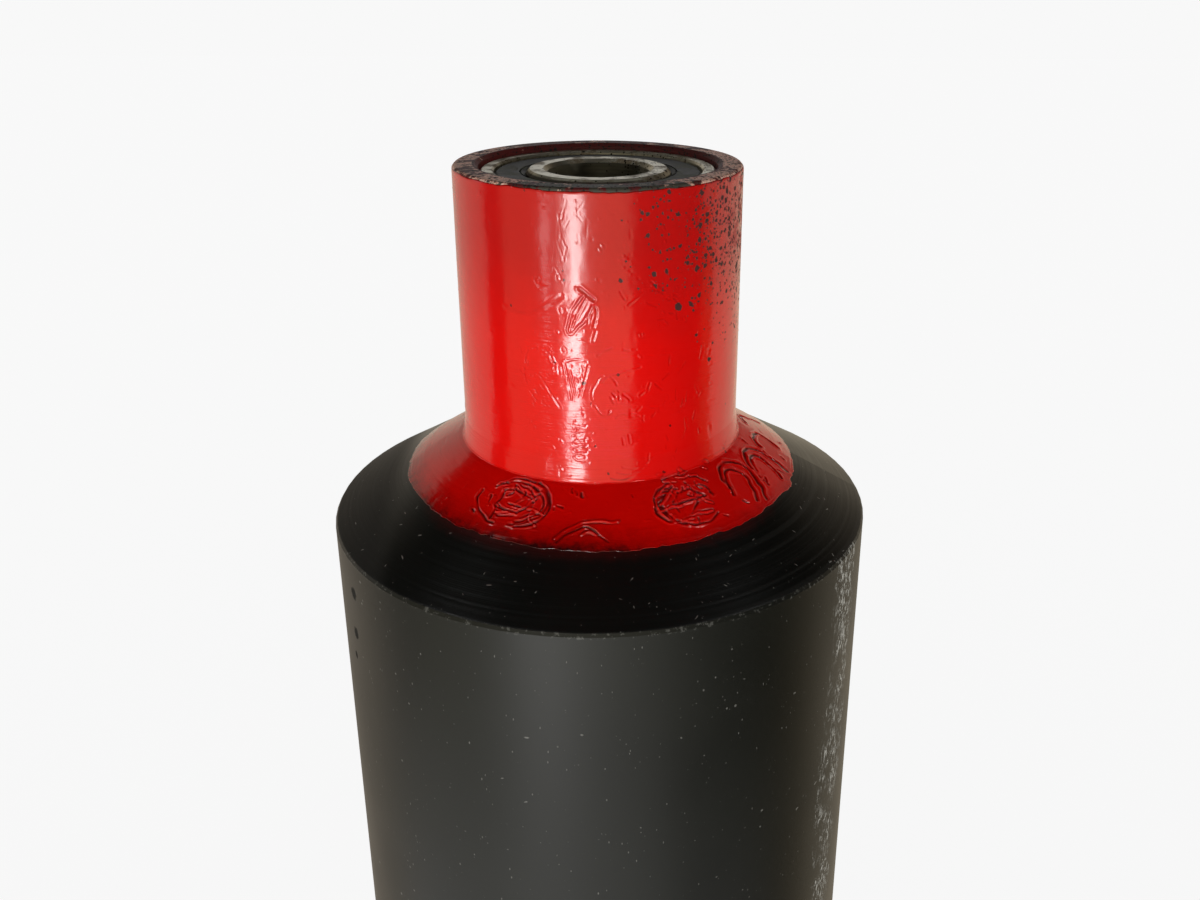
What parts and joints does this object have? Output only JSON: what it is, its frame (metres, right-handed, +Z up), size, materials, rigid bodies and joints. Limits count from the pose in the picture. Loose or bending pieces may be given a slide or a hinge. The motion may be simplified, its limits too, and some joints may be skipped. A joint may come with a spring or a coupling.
{
  "type": "ink form roller",
  "caption": "Rubber-covered steel press roller with red-painted conical ends and a sealed ball bearing recessed in each neck.",
  "frame": {"origin": "centre of the lower neck's rim, on the roller's axis, where it stands", "axes": "+Z up the roller's axis; X and Y are alike, the roller being round"},
  "size_m": [0.0838, 0.0838, 0.4368],
  "materials": {
    "red_enamel": "brushed-on gloss enamel, scratched and speckled with grime",
    "roller_rubber": "ground matte rubber, lightly dusted and scuffed",
    "core_steel": "drawn steel tube, dull",
    "bearing_steel": "ground bearing steel, dulled and pitted on its faces",
    "ball_steel": "polished",
    "cage_steel": "pressed sheet, satin",
    "seal_rubber": "moulded black nitrile, greasy"
  },
  "bodies": {
    "roller": {"core_tube": "core_steel", "rubber_cover": "roller_rubber", "upper_header": "red_enamel", "upper_bearing_outer_ring": "bearing_steel", "upper_bearing_outboard_seal": "seal_rubber", "upper_bearing_inboard_seal": "seal_rubber", "lower_header": "red_enamel", "lower_bearing_outer_ring": "bearing_steel", "lower_bearing_outboard_seal": "seal_rubber", "lower_bearing_inboard_seal": "seal_rubber"},
    "upper_inner_ring": {"upper_bearing_inner_ring": "bearing_steel"},
    "upper_cage": {"upper_bearing_balls": "ball_steel", "upper_bearing_outboard_cage_half": "cage_steel", "upper_bearing_inboard_cage_half": "cage_steel", "upper_bearing_cage_rivets": "cage_steel"},
    "lower_inner_ring": {"lower_bearing_inner_ring": "bearing_steel"},
    "lower_cage": {"lower_bearing_balls": "ball_steel", "lower_bearing_outboard_cage_half": "cage_steel", "lower_bearing_inboard_cage_half": "cage_steel", "lower_bearing_cage_rivets": "cage_steel"}
  },
  "joints": [
    {"name": "upper_inner_ring_spin", "type": "hinge", "parent": "roller", "child": "upper_inner_ring", "pos_m": [0, 0, 0.43044], "axis": [0, 0, 1], "continuous": true},
    {"name": "upper_cage_spin", "type": "hinge", "parent": "roller", "child": "upper_cage", "pos_m": [0, 0, 0.43044], "axis": [0, 0, 1], "continuous": true},
    {"name": "lower_inner_ring_spin", "type": "hinge", "parent": "roller", "child": "lower_inner_ring", "pos_m": [0, 0, 0.0064], "axis": [0, 0, 1], "continuous": true},
    {"name": "lower_cage_spin", "type": "hinge", "parent": "roller", "child": "lower_cage", "pos_m": [0, 0, 0.0064], "axis": [0, 0, 1], "continuous": true}
  ],
  "couplings": [
    {"joint": "upper_cage_spin", "follows": "upper_inner_ring_spin", "ratio": 0.38094},
    {"joint": "lower_cage_spin", "follows": "lower_inner_ring_spin", "ratio": 0.38094}
  ]
}
